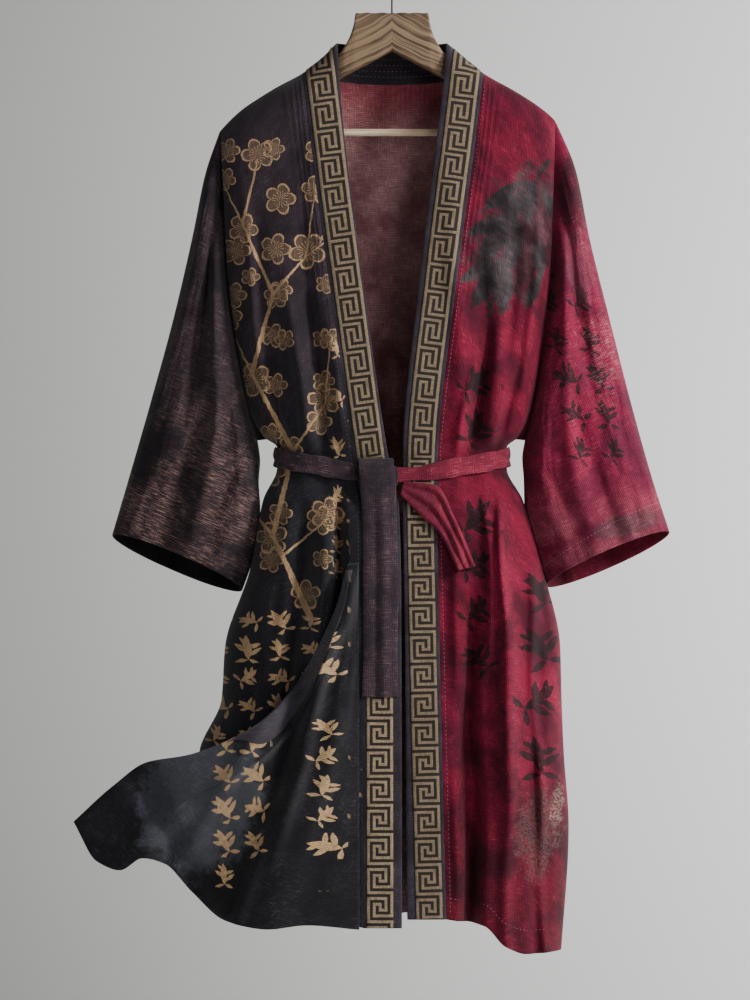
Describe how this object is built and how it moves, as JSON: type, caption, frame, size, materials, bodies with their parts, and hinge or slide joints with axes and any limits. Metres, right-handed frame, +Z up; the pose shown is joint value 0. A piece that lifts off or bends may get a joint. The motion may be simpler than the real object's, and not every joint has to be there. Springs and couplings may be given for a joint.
{
  "type": "kimono on a wooden hanger",
  "caption": "Knee-length belted kimono robe, dark on one side and crimson on the other, with key-pattern front bands and a flying skirt flap, filled out on a wooden hanger.",
  "frame": {"origin": "the point inside the top of the hook where the hanger hangs from a rail or peg", "axes": "+Z up, +X to the viewer's right, +Y away from the viewer who sees the open front"},
  "size_m": [0.8353, 0.2893, 1.4066],
  "materials": {
    "navy_linen": "slubby linen, near-black navy with a slate sheen and tan printed motifs",
    "aubergine_linen": "slubby linen, aubergine with paler worn threads",
    "crimson_linen": "slubby linen, heathered crimson with black ink-wash motifs and worn patches",
    "slate_linen": "close-woven linen band, slate with a purplish stitch line",
    "key_ribbon": "woven ribbon, tan square meander on dark brown",
    "hanger_wood": "waxed open-grain wood, light brown with dark grain",
    "hook_wire": "dark drawn wire"
  },
  "bodies": {
    "root": {"front_left": "navy_linen", "front_right": "crimson_linen", "back": "crimson_linen", "sleeve_left": "aubergine_linen", "sleeve_right": "crimson_linen", "collar_back": "slate_linen", "collar_left": "slate_linen", "collar_right": "slate_linen", "key_ribbon_left": "key_ribbon", "key_ribbon_right": "key_ribbon", "skirt_flap": "navy_linen", "belt_left": "aubergine_linen", "belt_right": "crimson_linen", "belt_knot": "aubergine_linen", "belt_tail_long": "aubergine_linen", "belt_tail_short": "crimson_linen", "hanger_left": "hanger_wood", "hanger_right": "hanger_wood", "hanger_bar": "hanger_wood", "hanger_hook": "hook_wire"}
  },
  "joints": []
}
